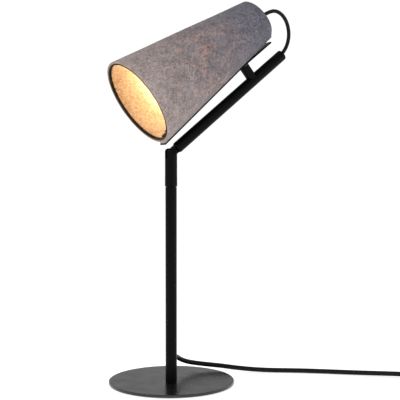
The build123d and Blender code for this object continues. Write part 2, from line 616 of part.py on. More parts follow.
def make_shade_swivel():
    """Screw, washers and bush on which the shade turns over the stub."""
    washer_low = STUB_TOP + FACE_GAP
    washer = sleeve(STUB_RADIUS - 0.1, SWIVEL_SCREW_RADIUS + RUNNING, washer_low,
                    washer_low + SWIVEL_WASHER, STUB_STATION)
    write("shade_swivel_washer", ARM * washer)

    bush_low = STRIP_SEAT + STRIP_THICKNESS + FACE_GAP
    bush_high = bush_low + LAP_THICKNESS + FELT_THICKNESS + CLAMP_THICKNESS + 1.0
    bush = sleeve(SWIVEL_BUSH_RADIUS, SWIVEL_SCREW_RADIUS + RUNNING, bush_low, bush_high, STUB_STATION)
    write("swivel_bush", ARM * bush)

    spring_low = bush_high + FACE_GAP
    spring_high = spring_low + SPRING_WASHER
    spring = sleeve(SWIVEL_BUSH_RADIUS + 0.6, SWIVEL_SCREW_RADIUS + RUNNING, spring_low, spring_high,
                    STUB_STATION)
    write("shade_spring_washer", ARM * spring)

    head_low = spring_high + FACE_GAP
    head_high = head_low + SWIVEL_SCREW_HEAD_HEIGHT
    screw = upright(SWIVEL_SCREW_RADIUS, STUB_TOP - SWIVEL_SCREW_DEPTH, head_low + 0.1, STUB_STATION)
    head = upright(SWIVEL_SCREW_HEAD_RADIUS, head_low, head_high, STUB_STATION)
    screw += fillet(head.edges().group_by(Axis.Z)[-1], 1.0)
    screw -= Pos(STUB_STATION, 0, 0) * hexagon(3.0, head_high - 1.8, head_high + OVERSHOOT)
    write("shade_swivel_screw", ARM * screw)


# ---------------------------------------------------------------- shade and its strip
def make_strip():
    rise = STRIP_THICKNESS / cos(radians(STRIP_BEND))
    profile = Polyline(
        (STRIP_START, STRIP_FOOT),
        (STRIP_BEND_STATION, STRIP_SEAT),
        (STRIP_END, STRIP_SEAT),
        (STRIP_END, STRIP_SEAT + STRIP_THICKNESS),
        (STRIP_BEND_STATION, STRIP_SEAT + STRIP_THICKNESS),
        (STRIP_START, STRIP_FOOT + rise),
        close=True,
    )
    strip = extrude(Plane.XZ * make_face(profile), STRIP_WIDTH / 2, both=True)
    strip = fillet(strip.edges().filter_by(Axis.Z), 1.0)
    strip -= upright(SWIVEL_SCREW_RADIUS + RUNNING, STUB_TOP, STRIP_SEAT + 2 * STRIP_THICKNESS, STUB_STATION)
    for station in CLAMP_SCREW_STATIONS:
        strip -= SEAM * clamp_screw_clearance(station)
    write("shade_strip", ARM * strip)


def clamp_screw_clearance(station):
    """Plain hole through everything at the seam, sunk for the head in the strip."""
    low = -SEAM_HEIGHT
    sink = Pos(station, 0, low - 0.01) * Cone(
        SMALL_HEAD_RADIUS + HOLE_EASE, SMALL_SCREW_RADIUS + HOLE_EASE, STRIP_THICKNESS - 0.2, align=FROM_BASE
    )
    return sink + upright(SMALL_SCREW_RADIUS + HOLE_EASE, low, CLAMP_TOP + OVERSHOOT, station)


def seam_cuts():
    """Plain holes for all the screws at the seam and for the swivel's bush, in the arm's frame."""
    low = -LAP_THICKNESS - OVERSHOOT
    radius = SMALL_SCREW_RADIUS + HOLE_EASE
    holes = [SEAM * upright(radius, low, FOOT_TOP + OVERSHOOT, station)
             for station in CLAMP_SCREW_STATIONS + BRACKET_SCREW_STATIONS]
    bush_hole = upright(SWIVEL_BUSH_RADIUS + 0.1, STRIP_SEAT, STRIP_SEAT + 14, STUB_STATION)
    return holes + [bush_hole]


def lap_section(radius, station):
    """The outer layer of felt where it passes the seam, across the shade's axis."""
    depth = -(radius + LAP_RADIAL)
    reach = hypot(LAP_NEAR_EDGE, depth)
    around = atan2(depth, LAP_NEAR_EDGE) - atan2((reach**2 - radius**2) ** 0.5, radius)
    touch = (radius * cos(around), radius * sin(around))
    inner = 0.97
    outline = Polyline(
        (LAP_FAR_EDGE, depth),
        (LAP_NEAR_EDGE, depth),
        touch,
        (touch[0] * inner, touch[1] * inner),
        (LAP_FAR_EDGE, -radius * inner),
        close=True,
    )
    across = Plane(origin=(station, 0, 0), x_dir=(0, 1, 0), z_dir=(1, 0, 0))
    return across * make_face(outline)


def along_shade(mouth_radius, top_radius, length):
    return Rot(0, 90, 0) * Cone(mouth_radius, top_radius, length, align=FROM_BASE)


def make_felt():
    slope = tan(radians(HALF_ANGLE))
    long_end = SHADE_LENGTH + 2 * END_SLANT
    end_radius = SHADE_TOP_RADIUS - 2 * END_SLANT * slope
    cone = along_shade(SHADE_MOUTH_RADIUS, end_radius, long_end)
    lap = loft([lap_section(SHADE_MOUTH_RADIUS, 0), lap_section(end_radius, long_end)], ruled=True)
    hollow = Pos(-OVERSHOOT, 0, 0) * along_shade(
        SHADE_MOUTH_RADIUS - FELT_RADIAL + OVERSHOOT * slope,
        end_radius - FELT_RADIAL - OVERSHOOT * slope,
        long_end + 2 * OVERSHOOT,
    )
    lean = degrees(atan2(END_SLANT, SHADE_TOP_RADIUS))
    beyond_end = Pos(SHADE_LENGTH, 0, 0) * Rot(0, -lean, 0) * slab(
        0, SHADE_LENGTH, 4 * SHADE_TOP_RADIUS, -2 * SHADE_TOP_RADIUS, 2 * SHADE_TOP_RADIUS
    )
    felt = SHADE * (cone + lap - hollow - beyond_end)
    # The felt is pressed flat under the inner clamp.
    felt -= SEAM * slab(
        CLAMP_START - 0.5, CLAMP_END + 30, CLAMP_WIDTH + 0.4, CLAMP_SEAT - FACE_GAP, CLAMP_TOP + 1
    )
    for hole in seam_cuts():
        felt -= hole
    write("shade_felt", ARM * felt)

    ring_outer = SHADE_MOUTH_RADIUS - FELT_RADIAL - FACE_GAP
    ring_inner = ring_outer - MOUTH_RING_THICKNESS
    taper = MOUTH_RING_LENGTH * slope
    ring = along_shade(ring_outer, ring_outer - taper, MOUTH_RING_LENGTH)
    ring -= Pos(-OVERSHOOT, 0, 0) * rod(ring_inner - taper, 0, MOUTH_RING_LENGTH + 2 * OVERSHOOT)
    write("mouth_ring", ARM * SHADE * ring)


def make_clamp():
    clamp = SEAM * slab(CLAMP_START, CLAMP_END, CLAMP_WIDTH, CLAMP_SEAT, CLAMP_TOP)
    for hole in seam_cuts():
        clamp -= hole
    write("inner_clamp", ARM * clamp)

    screws = []
    nuts = []
    head_low = -SEAM_HEIGHT + 0.1
    head_depth = STRIP_THICKNESS - 0.3
    for station in CLAMP_SCREW_STATIONS:
        screw = Pos(station, 0, head_low) * Cone(
            SMALL_HEAD_RADIUS, SMALL_SCREW_RADIUS, head_depth, align=FROM_BASE
        )
        tip = CLAMP_TOP + SMALL_NUT_HEIGHT + SCREW_TIP
        screw += upright(SMALL_SCREW_RADIUS, head_low + head_depth, tip, station)
        screws.append(ARM * SEAM * screw)
        nut = hex_nut(SMALL_NUT_FLATS, SMALL_SCREW_RADIUS + THREAD, CLAMP_TOP + FACE_GAP,
                      CLAMP_TOP + SMALL_NUT_HEIGHT)
        nuts.append(ARM * SEAM * Pos(station, 0, 0) * nut)
    write("clamp_screws", *screws)
    write("clamp_nuts", *nuts)


def make_bracket():
    foot = SEAM * slab(
        BRACKET_START, BRACKET_STATION / cos(radians(HALF_ANGLE)) + 1.5, CLAMP_WIDTH, FOOT_SEAT, FOOT_TOP
    )
    for hole in seam_cuts():
        foot -= hole
    felt_inside = SHADE_MOUTH_RADIUS - FELT_RADIAL - BRACKET_STATION * tan(radians(HALF_ANGLE))
    upright_low = -(felt_inside - CLAMP_THICKNESS - 0.6)
    face = Pos(BRACKET_STATION - BRACKET_THICKNESS, 0, 0)
    plate = slab(0, BRACKET_THICKNESS, CLAMP_WIDTH, upright_low, 0)
    plate += rod(BRACKET_HUB_RADIUS, 0, BRACKET_THICKNESS)
    plate -= rod(NIPPLE_RADIUS + 0.1, -OVERSHOOT, BRACKET_THICKNESS + OVERSHOOT)
    write("holder_bracket", ARM * (foot + SHADE * face * plate))

    screws = []
    nuts = []
    head_low = -LAP_THICKNESS - FACE_GAP - SMALL_HEAD_HEIGHT
    for station in BRACKET_SCREW_STATIONS:
        screw = upright(SMALL_HEAD_RADIUS, head_low, -LAP_THICKNESS - FACE_GAP, station)
        screw += upright(SMALL_SCREW_RADIUS, head_low, FOOT_TOP + SMALL_NUT_HEIGHT + SCREW_TIP, station)
        screws.append(ARM * SEAM * screw)
        nut = hex_nut(SMALL_NUT_FLATS, SMALL_SCREW_RADIUS + THREAD, FOOT_TOP + FACE_GAP,
                      FOOT_TOP + SMALL_NUT_HEIGHT)
        nuts.append(ARM * SEAM * Pos(station, 0, 0) * nut)
    write("bracket_screws", *screws)
    write("bracket_nuts", *nuts)


# ---------------------------------------------------------------- lampholder and bulb, along the shade's axis
def make_lampholder():
    cap_end = BRACKET_STATION - BRACKET_THICKNESS - FACE_GAP
    cap_start = cap_end - HOLDER_CAP_LENGTH
    skirt_start = cap_start - HOLDER_SKIRT_LENGTH
    nipple_start = cap_end - NIPPLE_INSERT
    nipple = rod(NIPPLE_RADIUS, nipple_start, SHADE_LENGTH - NIPPLE_END)
    nipple -= rod(NIPPLE_BORE, nipple_start - OVERSHOOT, SHADE_LENGTH)
    write("holder_nipple", ARM * SHADE * nipple)

    nut_start = BRACKET_STATION + FACE_GAP
    nut = Pos(nut_start, 0, 0) * Rot(0, 90, 0) * hex_nut(
        NIPPLE_NUT_FLATS, NIPPLE_RADIUS + THREAD, 0, NIPPLE_NUT_HEIGHT
    )
    write("nipple_nut", ARM * SHADE * nut)

    cap = Cylinder(HOLDER_RADIUS, HOLDER_CAP_LENGTH, align=FROM_BASE)
    cap = fillet(cap.edges().group_by(Axis.Z)[-1], HOLDER_CAP_FILLET)
    cap -= Cylinder(HOLDER_RADIUS - HOLDER_WALL, HOLDER_CAP_LENGTH - HOLDER_CAP_FILLET, align=FROM_BASE)
    cap -= Cylinder(NIPPLE_RADIUS + THREAD, HOLDER_CAP_LENGTH + OVERSHOOT, align=FROM_BASE)
    write("holder_cap", ARM * SHADE * Pos(cap_start, 0, 0) * Rot(0, 90, 0) * cap)

    skirt = rod(HOLDER_RADIUS - 0.4, skirt_start, cap_start - FACE_GAP)
    skirt -= rod(SOCKET_RADIUS + FACE_GAP, skirt_start - OVERSHOOT, cap_start + OVERSHOOT)
    write("holder_body", ARM * SHADE * skirt)

    socket_end = cap_start - FACE_GAP
    socket_floor = socket_end - SOCKET_FLOOR
    socket = rod(SOCKET_RADIUS, skirt_start + 6, socket_end)
    socket -= rod(SOCKET_RADIUS - SOCKET_WALL, skirt_start, socket_floor)
    write("holder_socket", ARM * SHADE * socket)

    contact = socket_floor - FACE_GAP
    cap_front = contact - BULB_CAP_LENGTH
    bulb_cap = rod(BULB_CAP_RADIUS, cap_front, contact - 4) + rod(5, contact - 4.1, contact)
    write("bulb_cap", ARM * SHADE * bulb_cap)

    globe_centre = contact - BULB_LENGTH + BULB_RADIUS
    neck_start = globe_centre + BULB_SHOULDER
    neck_end = skirt_start - 1.0
    globe = Pos(globe_centre, 0, 0) * Sphere(BULB_RADIUS)
    shoulder = (BULB_RADIUS**2 - BULB_SHOULDER**2) ** 0.5
    globe += Pos(neck_start, 0, 0) * Rot(0, 90, 0) * Cone(
        shoulder, BULB_NECK_RADIUS, neck_end - neck_start, align=FROM_BASE
    )
    globe += rod(BULB_NECK_RADIUS, neck_end - 0.1, cap_front - FACE_GAP)
    write("bulb_globe", ARM * SHADE * globe)


# ---------------------------------------------------------------- cables, switch and plug
def make_loop_cable():
    """The cable that leaves the arm's end and loops over into the shade's small end."""
    route = [ARM * Pos(station, 0, height) for station, height in LOOP_ROUTE]
    end = ARM * SHADE * Pos(SHADE_LENGTH - NIPPLE_END + FACE_GAP, 0, 0)
    write("loop_cable", cable("loop_cable", [place.position for place in route + [end]], LOOP_DIAMETER))


def make_switch():
    """In-line switch: a base, a cover, the screws that join them and a rocker."""
    base_low = 0.1
    cover_low = SWITCH_BASE_HEIGHT + FACE_GAP
    top = SWITCH_BASE_HEIGHT + SWITCH_COVER_HEIGHT
    outline = RectangleRounded(SWITCH_LENGTH, SWITCH_WIDTH, SWITCH_CORNER)
    inset = RectangleRounded(
        SWITCH_LENGTH - 2 * SWITCH_WALL, SWITCH_WIDTH - 2 * SWITCH_WALL, SWITCH_CORNER - SWITCH_WALL
    )
    middle = Pos(SWITCH_LENGTH / 2, 0, 0)
    cord_axis = CORD_ROUTE[-1][2]
    cord_way = rod(MAINS_DIAMETER / 2 + 0.1, -OVERSHOOT, SWITCH_LENGTH + OVERSHOOT, height=cord_axis)

    shell = extrude(outline, SWITCH_BASE_HEIGHT - base_low)
    shell = fillet(shell.edges().group_by(Axis.Z)[0], 1.2)
    shell -= Pos(0, 0, SWITCH_WALL) * extrude(inset, SWITCH_BASE_HEIGHT)
    base = middle * Pos(0, 0, base_low) * shell
    for x, y in SWITCH_SCREW_PLACES:
        base += upright(SWITCH_BOSS_RADIUS, base_low + SWITCH_WALL - 0.2, SWITCH_BASE_HEIGHT, x, y)
    base -= cord_way
    for x, y in SWITCH_SCREW_PLACES:
        base -= upright(SWITCH_SCREW_RADIUS + HOLE_EASE, -OVERSHOOT, cover_low, x, y)
        base -= upright(SWITCH_SCREW_HEAD + HOLE_EASE, -OVERSHOOT, SWITCH_HEAD_SEAT, x, y)
    write("switch_base", SWITCH * base)

    lid = extrude(outline, top - cover_low)
    lid = fillet(lid.edges().group_by(Axis.Z)[-1], 3.0)
    lid -= Pos(0, 0, -OVERSHOOT) * extrude(inset, top - cover_low - SWITCH_WALL + OVERSHOOT)
    cover = middle * Pos(0, 0, cover_low) * lid
    thread_top = top - SWITCH_WALL - 0.7
    for x, y in SWITCH_SCREW_PLACES:
        cover += upright(SWITCH_BOSS_RADIUS, cover_low, top - SWITCH_WALL / 2, x, y)
        cover -= upright(SWITCH_SCREW_RADIUS + THREAD, cover_low - OVERSHOOT, thread_top, x, y)
    cover -= cord_way
    pivot_z = top - ROCKER_DROP
    half = ROCKER_LENGTH / 2
    opening = ROCKER_WIDTH + 2 * ROCKER_SIDE_GAP
    cover -= middle * slab(-half - 0.5, half + 0.5, opening, cover_low, top + OVERSHOOT)
    # Two cheeks beside the rocker carry its pin.
    cheek = slab(-CHEEK_HALF_LENGTH, CHEEK_HALF_LENGTH, opening + 2 * CHEEK_THICKNESS, cover_low + 1, top - 1)
    cheek -= slab(-half, half, opening, cover_low, top)
    cover += middle * cheek
    bearing_reach = opening / 2 + CHEEK_THICKNESS - 0.5
    bearing = cross_pin(ROCKER_PIN_RADIUS + RUNNING, -bearing_reach, bearing_reach)
    cover -= middle * Pos(0, 0, pivot_z) * bearing
    write("switch_cover", SWITCH * cover)

    head_low = 0.5
    screws = []
    for x, y in SWITCH_SCREW_PLACES:
        screw = upright(SWITCH_SCREW_HEAD, head_low, SWITCH_HEAD_SEAT - 0.1, x, y)
        screw += upright(SWITCH_SCREW_RADIUS, head_low, thread_top - 0.5, x, y)
        screws.append(SWITCH * screw)
    write("switch_screws", *screws)

    # The rocker's top is two flats that meet over its pin, so one end stands proud.
    rise = half * tan(radians(ROCKER_TILT))
    profile = Polyline(
        (-half + 0.6, -ROCKER_BELOW_PIN),
        (half - 0.6, -ROCKER_BELOW_PIN),
        (half, ROCKER_ABOVE_PIN + rise),
        (0, ROCKER_ABOVE_PIN),
        (-half, ROCKER_ABOVE_PIN + rise),
        close=True,
    )
    rocker = extrude(Plane.XZ * make_face(profile), ROCKER_WIDTH / 2, both=True)
    pin_reach = bearing_reach - 0.3
    rocker += cross_pin(ROCKER_PIN_RADIUS, -pin_reach, pin_reach)
    write("switch_rocker", SWITCH * middle * Pos(0, 0, pivot_z) * Rot(0, -ROCKER_TILT, 0) * rocker)


def make_mains_cord():
    write("mains_cord", cable("mains_cord", CORD_ROUTE, MAINS_DIAMETER))
    switch_end = SWITCH * Pos(SWITCH_LENGTH, 0, CORD_ROUTE[-1][2])
    write("switch_cord", cable("switch_cord", (switch_end.position, COIL_ENTRY), MAINS_DIAMETER))
    write("plug_cord", cable("plug_cord", (TAIL_START, TAIL_END), MAINS_DIAMETER))

    top = COIL_BOTTOM + 2 * MAINS_DIAMETER + COIL_TURN_GAP
    coil = sleeve(COIL_OUTER, COIL_INNER, COIL_BOTTOM, top, *COIL_CENTRE)
    coil = fillet(coil.edges().filter_by(GeomType.CIRCLE), 2.5)
    write("cord_coil", coil)

    # A strap round the section of the coil.
    gap = FACE_GAP
    inside = (COIL_INNER**2 - (TIE_WIDTH / 2) ** 2) ** 0.5 - gap
    tie = slab(inside - TIE_THICKNESS, COIL_OUTER + gap + TIE_THICKNESS, TIE_WIDTH,
               COIL_BOTTOM - gap - TIE_THICKNESS, top + gap + TIE_THICKNESS)
    tie -= slab(inside, COIL_OUTER + gap, TIE_WIDTH + 2, COIL_BOTTOM - gap, top + gap)
    write("cord_tie", Pos(*COIL_CENTRE, 0) * Rot(0, 0, TIE_HEADING) * tie)


def make_plug():
    """Flat two-pin plug that lies on the desk beside the coil."""
    heading = degrees(atan2(TAIL_END[1] - TAIL_START[1], TAIL_END[0] - TAIL_START[0]))
    place = Pos(*TAIL_END) * Rot(0, 0, heading)
    sleeve_start = FACE_GAP
    taper = Pos(sleeve_start, 0, 0) * Rot(0, 90, 0) * Cone(
        GLAND_TIP_RADIUS, GLAND_ROOT_RADIUS, PLUG_SLEEVE, align=FROM_BASE
    )
    for start in PLUG_RINGS:
        end = start + RING_WIDTH
        floor = rod(MAINS_DIAMETER / 2 + RING_FLOOR, start, end)
        taper -= rod(GLAND_ROOT_RADIUS + OVERSHOOT, start, end) - floor
    body_start = sleeve_start + PLUG_SLEEVE - 1
    body_end = body_start + PLUG_BODY_LENGTH
    # One side, from the cord end to the nose: a shoulder, a waist to hold it by, and the nose.
    side = (
        (body_start, 6.0),
        (body_start + 5, PLUG_WIDTH / 2),
        (body_start + 14, PLUG_WIDTH / 2 - 1.2),
        (body_end, PLUG_NOSE_WIDTH / 2),
    )
    outline = Polyline(*side, *[(x, -y) for x, y in reversed(side)], close=True)
    body = extrude(make_face(outline), PLUG_THICKNESS / 2, both=True)
    body = fillet(body.edges().group_by(Axis.Z)[0] + body.edges().group_by(Axis.Z)[-1], 1.5)
    body += taper
    pins = []
    for hand in (-1, 1):
        y = hand * PIN_SPACING / 2
        root = body_end - PIN_ROOT
        body -= rod(PLUG_PIN_RADIUS + FACE_GAP, root - 0.1, body_end + OVERSHOOT, across=y)
        pin = rod(PLUG_PIN_RADIUS, root, body_end + PIN_LENGTH, across=y)
        pin = fillet(pin.edges().filter_by(GeomType.CIRCLE).sort_by(Axis.X)[-1], 1.5)
        pins.append(place * pin)
    write("plug_body", place * body)
    write("plug_pins", *pins)


os.makedirs("parts", exist_ok=True)
make_base()
make_post()
make_swivel()
make_fork()
make_pivot()
make_knuckle()
make_knuckle_wires()
make_arm()
make_shade_swivel()
make_strip()
make_felt()
make_clamp()
make_bracket()
make_lampholder()
make_loop_cable()
make_switch()
make_mains_cord()
make_plug()
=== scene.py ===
"""Looks of the desk lamp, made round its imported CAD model. Metres, in the CAD model's frame."""
import json
import math
import random

import bpy
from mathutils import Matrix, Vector


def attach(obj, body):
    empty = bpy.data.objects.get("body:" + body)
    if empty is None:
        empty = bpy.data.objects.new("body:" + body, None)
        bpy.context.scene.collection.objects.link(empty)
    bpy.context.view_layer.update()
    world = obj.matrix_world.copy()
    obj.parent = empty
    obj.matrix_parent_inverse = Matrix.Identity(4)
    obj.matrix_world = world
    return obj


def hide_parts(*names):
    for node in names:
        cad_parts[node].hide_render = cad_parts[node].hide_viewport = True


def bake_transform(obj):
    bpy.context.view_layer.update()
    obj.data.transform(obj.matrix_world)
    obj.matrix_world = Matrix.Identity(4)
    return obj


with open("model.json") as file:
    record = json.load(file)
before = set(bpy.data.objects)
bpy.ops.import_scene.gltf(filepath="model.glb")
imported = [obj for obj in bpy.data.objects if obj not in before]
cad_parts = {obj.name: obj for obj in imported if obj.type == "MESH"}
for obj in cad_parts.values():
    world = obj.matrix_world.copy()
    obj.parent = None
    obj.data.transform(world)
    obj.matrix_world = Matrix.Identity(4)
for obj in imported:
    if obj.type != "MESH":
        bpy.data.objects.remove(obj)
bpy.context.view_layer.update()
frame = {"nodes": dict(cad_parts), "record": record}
nodes = frame["nodes"]
slot_of = {entry["node"]: entry["material_slot"] for entry in frame["record"]["subparts"]}
MM = 0.001

# ---------------------------------------------------------------- sizes as in the CAD model, in millimetres
PIVOT_HEIGHT = 293.5
ARM_ANGLE = math.radians(39.28)
STRIP_START = -2.0
STRIP_FOOT = 14.683
STRIP_BEND = math.radians(3.5)
MOUTH_SETBACK = 0.8
SEAM_HEIGHT = 3.8
MOUTH_RADIUS = 58.0
TOP_RADIUS = 28.0
SHADE_LENGTH = 205.0
END_SLANT = 3.0          # how much longer than that it is at the seam
HALF_ANGLE = math.atan2(MOUTH_RADIUS - TOP_RADIUS, SHADE_LENGTH)
FELT = 3.0 / math.cos(HALF_ANGLE)
LAP = 1.95 / math.cos(HALF_ANGLE)
LAP_FAR_EDGE = 4.6
LAP_NEAR_EDGE = -8.0
LAP_STEPS = 9            # over each of the lap's two flat stretches
LAP_ROUND = 0.5          # of the lap's cut edge
LAP_ROUND_MIDDLE = 0.15
LAP_TUCK = 0.7           # share of the lap's height, and distance, where its edge turns in
SEAM_INSIDE = 0.08       # turn past the seam at which the inner face begins
LOOP_DIAMETER = 5.0
MAINS_DIAMETER = 6.2
TUBE_SIDES = 20          # round a cord
CORD_ROUTE = (
    (16.1, 23.3, 31.2),
    (23.6, 34.2, 28.9),
    (31.9, 42.8, 23.4),
    (42.6, 48.3, 18.2),
    (54.5, 50.0, 14.6),
    (66.8, 47.6, 12.3),
    (78.3, 41.5, 11.0),
    (90.7, 33.1, 9.9),
    (106.1, 23.8, 7.7),
    (125.0, 14.6, 5.5),
    (146.9, 4.8, 3.9),
    (170.5, -6.2, 3.4),
    (188.6, -17.3, 3.4),
    (218.9, -39.4, 3.4),
    (248.5, -62.9, 3.6),
    (272.4, -85.7, 4.8),
    (286.5, -105.1, 6.5),
)
SWITCH_END = (320.65, -151.98, 6.5)
LOOP_INSIDE = 2.95       # how far it ends inside the shade's small end
LOOP_ROUTE = (           # station along the arm, height over the arm's axis
    (196.0, 0.0),
    (216.5, 0.0),
    (236.0, 11.0),
    (245.8, 28.0),
    (245.8, 43.0),
    (238.6, 53.5),
    (221.5, 57.7),
)
COIL_CENTRE = (309.4, -203.5)
COIL_RADII = (39.4, 33.1, 26.8)
COIL_LAYERS = (3.9, 10.2)
COIL_ENTRY_ANGLE = 36.07
COIL_EXIT_ANGLE = -116.93
COIL_STEPS = 24          # points in one turn
COIL_SHIFT = 0.78        # share of a turn after which it moves to the next one
TAIL_END = (270.9, -228.5, 6.9)

ALONG = Vector((math.cos(ARM_ANGLE), 0, math.sin(ARM_ANGLE)))
OVER = Vector((-math.sin(ARM_ANGLE), 0, math.cos(ARM_ANGLE)))
ACROSS = Vector((0, 1, 0))
PIVOT = Vector((0, 0, PIVOT_HEIGHT))

# ---------------------------------------------------------------- felt, in millimetres
FELT_ROWS = 64
FELT_STEPS = 200         # round one row, without the lap
EDGE_ROUND = 0.7
WAVE_COUNT = 9
WAVE_HEIGHT = 0.35
CALM_AT_SEAM = (0.35, 0.4)   # turn from the seam where waves start, and over which they grow
SLANT_POWER = 8
GLOW_MIDDLE = 90.0       # station where the bulb shines through most
GLOW_SPREAD = 45.0

# ---------------------------------------------------------------- camera and light
CAMERA_PLACE = (-446.5, -959.2, 259.7)
CAMERA_HEADING = math.radians(26.93)
CAMERA_PITCH = math.radians(1.35)
CAMERA_LENS = 75.75
CAMERA_SENSOR = 36.0
BULB_STRENGTH = 24.0
FLOOR_SIZE = 30.0
FLOOR_DEPTH = -0.0003
FLOOR_GLOW = 0.55        # of the lit white sweep that the lamp stands on
STUDIO_LIGHT = 0.55
STUDIO_SEEN = 1.05
LIGHT_AIM = (0.05, 0, 0.3)


def on_arm(station, height):
    """A place given along and over the arm, in metres in the lamp's frame."""
    return (PIVOT + ALONG * station + OVER * height) * MM


def turned(angle):
    """Directions along and over a line that climbs this much more than the arm does."""
    along = ALONG * math.cos(angle) + OVER * math.sin(angle)
    over = OVER * math.cos(angle) - ALONG * math.sin(angle)
    return along, over


seam_along, seam_over = turned(STRIP_BEND)
seam_start = (
    PIVOT + ALONG * STRIP_START + OVER * STRIP_FOOT + seam_along * MOUTH_SETBACK + seam_over * SEAM_HEIGHT
)
shade_along, shade_over = turned(STRIP_BEND - HALF_ANGLE)
mouth_centre = seam_start + shade_over * MOUTH_RADIUS


def in_shade(station, across, over):
    """A place given along the shade's axis from its mouth, in metres in the lamp's frame."""
    return (mouth_centre + shade_along * station + ACROSS * across + shade_over * over) * MM


def new_object(name, data):
    made = bpy.data.objects.new(name, data)
    bpy.context.scene.collection.objects.link(made)
    return made


# ---------------------------------------------------------------- camera
def make_camera():
    """The camera at the lamp's front left, a little over half its height."""
    data = bpy.data.cameras.new("camera")
    data.lens = CAMERA_LENS
    data.sensor_width = CAMERA_SENSOR
    camera = new_object("camera", data)
    look = Vector((
        math.sin(CAMERA_HEADING) * math.cos(CAMERA_PITCH),
        math.cos(CAMERA_HEADING) * math.cos(CAMERA_PITCH),
        -math.sin(CAMERA_PITCH),
    ))
    camera.location = Vector(CAMERA_PLACE) * MM
    camera.rotation_mode = "QUATERNION"
    camera.rotation_quaternion = look.to_track_quat("-Z", "Y")
    bpy.context.scene.camera = camera


# ---------------------------------------------------------------- mesh helpers
def smooth_line(points):
    """Points along the smooth line whose control points are these, in metres."""
    data = bpy.data.curves.new("guide", "CURVE")
    data.dimensions = "3D"
    spline = data.splines.new("NURBS")
    spline.points.add(len(points) - 1)
    for control, place in zip(spline.points, points):
        control.co = (*place, 1.0)
    spline.order_u = 3
    spline.use_endpoint_u = True
    spline.resolution_u = 6
    guide = new_object("guide", data)
    bpy.context.view_layer.update()
    line = bpy.data.meshes.new_from_object(guide.evaluated_get(bpy.context.evaluated_depsgraph_get()))
    places = [vertex.co.copy() for vertex in line.vertices]
    bpy.data.meshes.remove(line)
    bpy.data.objects.remove(guide)
    return places


def turned_point(radius, angle):
    return radius * math.cos(angle), radius * math.sin(angle)


def tube_mesh(name, path, radius):
    """A closed round tube along a path."""
    vertices = []
    faces = []
    normal = (path[1] - path[0]).orthogonal()
    for index, place in enumerate(path):
        before = path[max(index - 1, 0)]
        after = path[min(index + 1, len(path) - 1)]
        tangent = (after - before).normalized()
        normal = (normal - tangent * normal.dot(tangent)).normalized()
        second = tangent.cross(normal)
        for side in range(TUBE_SIDES):
            angle = 2 * math.pi * side / TUBE_SIDES
            vertices.append(place + (normal * math.cos(angle) + second * math.sin(angle)) * radius)
    for index in range(len(path) - 1):
        for side in range(TUBE_SIDES):
            following = (side + 1) % TUBE_SIDES
            low = index * TUBE_SIDES
            high = low + TUBE_SIDES
            faces.append((low + side, low + following, high + following, high + side))
    last = (len(path) - 1) * TUBE_SIDES
    faces.append(tuple(reversed(range(TUBE_SIDES))))
    faces.append(tuple(range(last, last + TUBE_SIDES)))
    data = bpy.data.meshes.new(name)
    data.from_pydata([tuple(vertex) for vertex in vertices], [], faces)
    data.polygons.foreach_set("use_smooth", [True] * len(data.polygons))
    data.validate()
    return new_object(name, data)


# ---------------------------------------------------------------- cords
def coil_points():
    """Turns that lie beside and on each other, entered outside below and left outside above."""
    turns = len(COIL_RADII) * len(COIL_LAYERS)
    inward = list(COIL_RADII)
    radii = inward + inward[::-1] + [inward[0]]
    heights = [COIL_LAYERS[0]] * len(inward) + [COIL_LAYERS[1]] * (len(inward) + 1)
    swept = turns * 360 + (COIL_ENTRY_ANGLE - COIL_EXIT_ANGLE)
    count = round(swept / 360 * COIL_STEPS)
    loosened = 1 / math.cos(math.pi / COIL_STEPS)
    points = []
    for step in range(count + 1):
        travelled = swept * step / count
        turn = min(int(travelled // 360), turns)
        share = travelled / 360 - turn
        ease = max(0.0, (share - COIL_SHIFT) / (1 - COIL_SHIFT))
        ease = ease * ease * (3 - 2 * ease)
        following = min(turn + 1, turns)
        radius = (radii[turn] + (radii[following] - radii[turn]) * ease) * loosened
        height = heights[turn] + (heights[following] - heights[turn]) * ease
        x, y = turned_point(radius, math.radians(COIL_ENTRY_ANGLE - travelled))
        points.append((COIL_CENTRE[0] + x, COIL_CENTRE[1] + y, height))
    return points


def make_mains_cord():
    """The lead from the post to the plug, with its coil."""
    route = list(CORD_ROUTE) + [SWITCH_END] + coil_points() + [TAIL_END]
    path = smooth_line([Vector(place) * MM for place in route])
    cord = tube_mesh("mains_lead", path, MAINS_DIAMETER / 2 * MM)
    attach(cord, "root")
    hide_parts("mains_cord", "switch_cord", "cord_coil", "plug_cord")
    return cord


def make_loop_cable():
    """The short cable from the arm's end over into the shade."""
    end = in_shade(SHADE_LENGTH - LOOP_INSIDE, 0, 0)
    path = smooth_line([on_arm(station, height) for station, height in LOOP_ROUTE] + [end])
    cable = tube_mesh("shade_cable", path, LOOP_DIAMETER / 2 * MM)
    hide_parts("loop_cable")
    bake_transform(cable)
    return cable


def make_knuckle_cores():
    """The two cores past the pivot, which bend as the arm tilts; here a fixed copy of their CAD piece."""
    cores = new_object("knuckle_cores", nodes["knuckle_wires"].data.copy())
    cores.matrix_world = nodes["knuckle_wires"].matrix_world.copy()
    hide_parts("knuckle_wires")
    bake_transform(cores)
    return cores


make_camera()
mains = make_mains_cord()
loop = make_loop_cable()
knuckle_cores = make_knuckle_cores()


